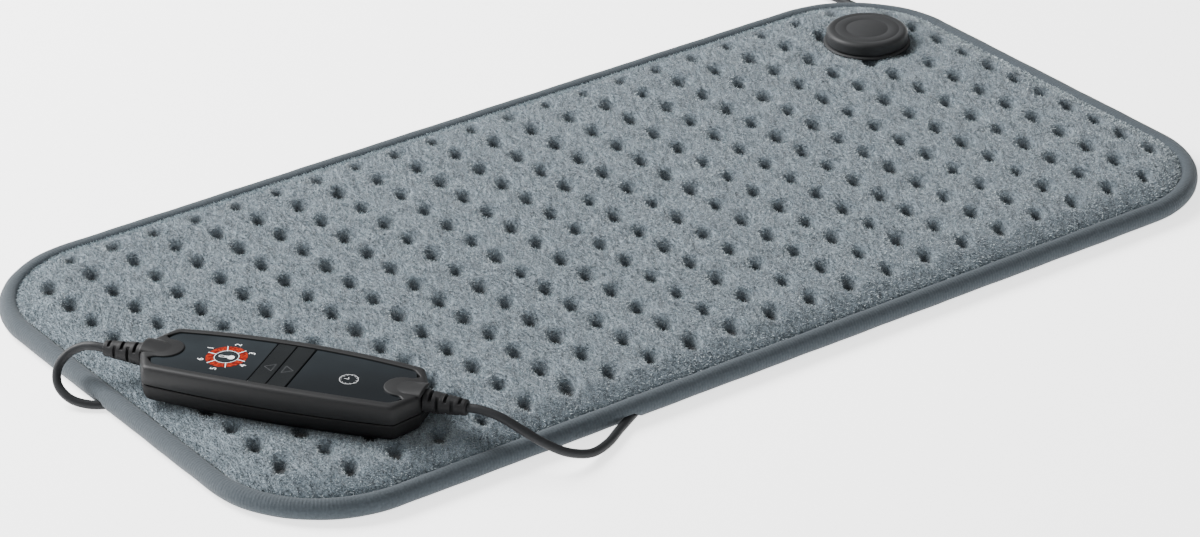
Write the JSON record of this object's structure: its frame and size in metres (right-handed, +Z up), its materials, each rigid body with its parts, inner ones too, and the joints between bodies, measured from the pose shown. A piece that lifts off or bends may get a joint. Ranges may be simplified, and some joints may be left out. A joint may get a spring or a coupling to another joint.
{
  "type": "heating pad",
  "caption": "Flat quilted plush heating pad with a piped edge, a round cable coupling in one corner, and a slim corded hand controller with level lights and two keys.",
  "frame": {"origin": "middle of the pad's outline, on the surface the pad lies on", "axes": "+X along the pad's long side, +Y across it towards the side away from the controller, +Z up"},
  "size_m": [0.6567, 0.4625, 0.034],
  "materials": {
    "plush": "short plush pile, quilted",
    "binding": "woven piping",
    "backing": "plain woven backing",
    "wadding": "soft wadding",
    "felt": "thin felt",
    "wire_jacket": "smooth insulated wire",
    "housing": "fine satin grain",
    "lower_housing": "fine satin grain",
    "keys": "satin",
    "windows": "glossy dark plate",
    "lights": "lit diffuser",
    "cord": "smooth satin sheath",
    "circuit": "solder mask",
    "black_plastic": "satin",
    "steel": "plated",
    "brass": "plated contacts",
    "diffuser": "milky plastic"
  },
  "bodies": {
    "pad": {"bottom_cover": "backing", "lower_wadding": "wadding", "heater_carrier": "felt", "heating_wire": "wire_jacket", "thermal_cutout_1": "black_plastic", "thermal_cutout_2": "black_plastic", "top_cover": "plush", "edge_binding": "binding", "coupling_base": "lower_housing", "coupling_flange": "lower_housing", "coupling_cap": "housing", "coupling_plug": "cord", "pad_lead": "cord", "mains_lead": "cord", "mains_coil": "cord", "coil_tie": "black_plastic", "mains_plug": "black_plastic", "mains_tail": "cord", "contact_pin_1": "brass", "coupling_screw_1": "steel", "contact_pin_2": "brass", "coupling_screw_2": "steel", "contact_pin_3": "brass", "coupling_screw_3": "steel", "mains_pin_1": "steel", "mains_pin_2": "steel"},
    "controller": {"lower_shell": "lower_housing", "upper_shell": "housing", "left_panel": "windows", "right_panel": "windows", "level_light_1": "lights", "level_light_2": "lights", "level_light_3": "lights", "level_light_4": "lights", "level_light_5": "lights", "level_light_6": "lights", "circuit_board": "circuit", "light_guide": "diffuser", "tact_switch_1": "black_plastic", "tact_switch_2": "black_plastic", "fuse": "diffuser", "capacitor": "windows", "power_switch": "black_plastic", "housing_screw_1": "steel", "housing_screw_2": "steel", "housing_screw_3": "steel", "housing_screw_4": "steel", "strain_relief_left": "cord", "strain_relief_right": "cord"},
    "key_left": {"key_left": "keys"},
    "key_right": {"key_right": "keys"}
  },
  "joints": [
    {"name": "controller_lift", "type": "slide", "parent": "pad", "child": "controller", "axis": [0, 0, 1], "range_m": [0, 0.03]},
    {"name": "key_left_press", "type": "slide", "parent": "controller", "child": "key_left", "axis": [0, 0, -1], "range_m": [0, 0.0008], "stiffness_N_per_m": 400, "springref_m": -0.0005},
    {"name": "key_right_press", "type": "slide", "parent": "controller", "child": "key_right", "axis": [0, 0, -1], "range_m": [0, 0.0008], "stiffness_N_per_m": 400, "springref_m": -0.0005}
  ]
}
